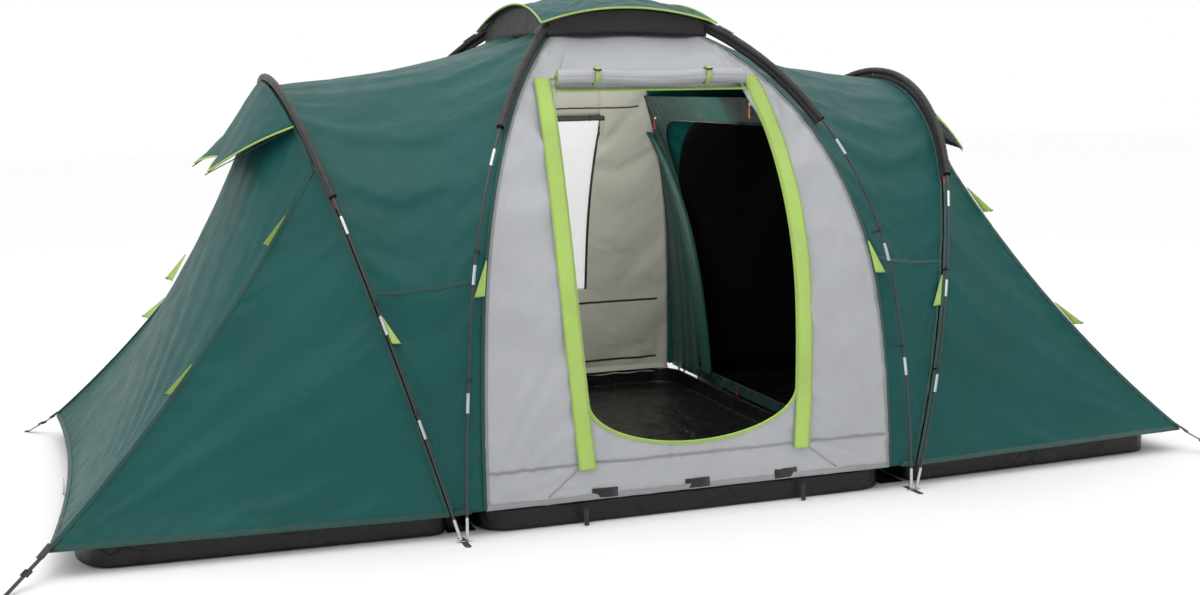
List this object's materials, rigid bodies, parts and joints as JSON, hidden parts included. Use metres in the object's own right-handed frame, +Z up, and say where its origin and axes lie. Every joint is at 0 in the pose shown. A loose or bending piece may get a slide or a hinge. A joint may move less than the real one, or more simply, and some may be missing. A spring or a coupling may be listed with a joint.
{
  "type": "two bedroom dome tent",
  "caption": "Family dome tent on crossed poles with a bedroom under a hoop at each end, pitched with its front door rolled up.",
  "frame": {"origin": "middle of the tent's base on the ground, under the crossing of the main poles", "axes": "+X along the tent towards the right bedroom, -Y out of the front door, +Z up"},
  "size_m": [4.9996, 2.592, 2.027],
  "materials": {
    "pole_glass_fibre": "dark grey pultruded glass fibre",
    "elastic_cord": "braided elastic cord",
    "bright_metal": "bright drawn metal",
    "brass_eyelet": "rolled brass eyelet",
    "black_webbing": "woven black webbing",
    "black_fabric": "black coated polyester",
    "red_tape": "red woven tape",
    "black_plastic": "moulded black acetal",
    "green_fly": "coated polyester, dark teal green",
    "grey_fly": "coated polyester, silver grey",
    "beige_fly": "coated polyester, warm grey",
    "lime_fabric": "lime green polyester",
    "window_film": "clear flexible film",
    "dark_curtain": "dark curtain cloth",
    "groundsheet_black": "black polyethylene sheet, slightly glossy",
    "inner_green": "breathable dark green polyester",
    "inner_black": "light-blocking black coated polyester",
    "orange_pull": "orange moulded pull",
    "red_pull": "red moulded pull"
  },
  "bodies": {
    "tent": {"main_pole_a": "pole_glass_fibre", "main_pole_b": "pole_glass_fibre", "hoop_pole_left": "pole_glass_fibre", "hoop_pole_right": "pole_glass_fibre", "shock_cords": "elastic_cord", "pole_ferrules": "bright_metal", "pole_tips": "bright_metal", "foot_pins": "bright_metal", "foot_webbing": "black_webbing", "main_sleeves": "black_fabric", "hoop_sleeves": "black_fabric", "sleeve_ribbons": "red_tape", "sleeve_eyelets": "brass_eyelet", "pole_clips": "black_plastic", "roof_cap": "green_fly", "cap_tapes": "black_webbing", "front_panel": "grey_fly", "back_panel": "beige_fly", "roof_panel_left": "green_fly", "roof_panel_right": "green_fly", "side_panel_front_left": "green_fly", "side_panel_front_right": "green_fly", "side_panel_back_left": "green_fly", "side_panel_back_right": "green_fly", "end_panel_left": "green_fly", "end_panel_right": "green_fly", "vent_hood_left": "green_fly", "vent_hood_right": "green_fly", "hood_wands": "black_plastic", "door_strips": "lime_fabric", "door_roll": "grey_fly", "door_ties": "lime_fabric", "door_zip": "lime_fabric", "zip_sliders": "bright_metal", "hem_patches": "black_fabric", "guy_tabs": "lime_fabric", "window_film": "window_film", "window_curtain": "dark_curtain", "back_zips": "black_fabric", "groundsheet_left": "groundsheet_black", "groundsheet_living": "groundsheet_black", "groundsheet_right": "groundsheet_black", "bedroom_wall_left": "inner_green", "bedroom_wall_right": "inner_green", "bedroom_cabin_left": "inner_black", "bedroom_cabin_right": "inner_black", "bedroom_flap_left": "inner_green", "bedroom_flap_right": "inner_green", "corner_straps": "black_webbing", "peg_loops": "black_webbing"},
    "toggle_left": {"tie_toggle_left": "black_plastic"},
    "toggle_right": {"tie_toggle_right": "black_plastic"},
    "door_pull": {"door_zip_pull": "orange_pull"},
    "arch_pull": {"arch_zip_pull": "red_pull"},
    "sill_slider": {"sill_zip_slider": "bright_metal"},
    "sill_pull": {"sill_zip_pull": "red_pull"},
    "lock_front_left": {"strap_lock_front_left": "black_plastic"},
    "lock_front_right": {"strap_lock_front_right": "black_plastic"},
    "lock_back_left": {"strap_lock_back_left": "black_plastic"},
    "lock_back_right": {"strap_lock_back_right": "black_plastic"}
  },
  "joints": [
    {"name": "toggle_left_turn", "type": "hinge", "parent": "tent", "child": "toggle_left", "pos_m": [-0.236, -0.77347, 1.69249], "axis": [0, -0.766, 0.6428], "range_deg": [-85, 85]},
    {"name": "toggle_right_turn", "type": "hinge", "parent": "tent", "child": "toggle_right", "pos_m": [0.236, -0.77347, 1.69249], "axis": [0, -0.766, 0.6428], "range_deg": [-85, 85]},
    {"name": "door_pull_swing", "type": "hinge", "parent": "tent", "child": "door_pull", "pos_m": [0.40687, -0.78455, 1.54933], "axis": [1, 0, 0], "range_deg": [-8, 75]},
    {"name": "arch_pull_swing", "type": "hinge", "parent": "tent", "child": "arch_pull", "pos_m": [0.59975, 0.76, 1.46081], "axis": [0, 1, 0], "range_deg": [-8, 75]},
    {"name": "sill_slider_travel", "type": "slide", "parent": "tent", "child": "sill_slider", "axis": [0, 1, 0], "range_m": [-1, 0.4]},
    {"name": "sill_pull_swing", "type": "hinge", "parent": "sill_slider", "child": "sill_pull", "pos_m": [0.84859, 0.3, 0.12909], "axis": [0, 1, 0], "range_deg": [-8, 75]},
    {"name": "lock_front_left_slide", "type": "slide", "parent": "tent", "child": "lock_front_left", "axis": [-0.631, -0.631, -0.4514], "range_m": [-0.05, 0.06]},
    {"name": "lock_front_right_slide", "type": "slide", "parent": "tent", "child": "lock_front_right", "axis": [0.631, -0.631, -0.4514], "range_m": [-0.05, 0.06]},
    {"name": "lock_back_left_slide", "type": "slide", "parent": "tent", "child": "lock_back_left", "axis": [-0.631, 0.631, -0.4514], "range_m": [-0.05, 0.06]},
    {"name": "lock_back_right_slide", "type": "slide", "parent": "tent", "child": "lock_back_right", "axis": [0.631, 0.631, -0.4514], "range_m": [-0.05, 0.06]}
  ]
}
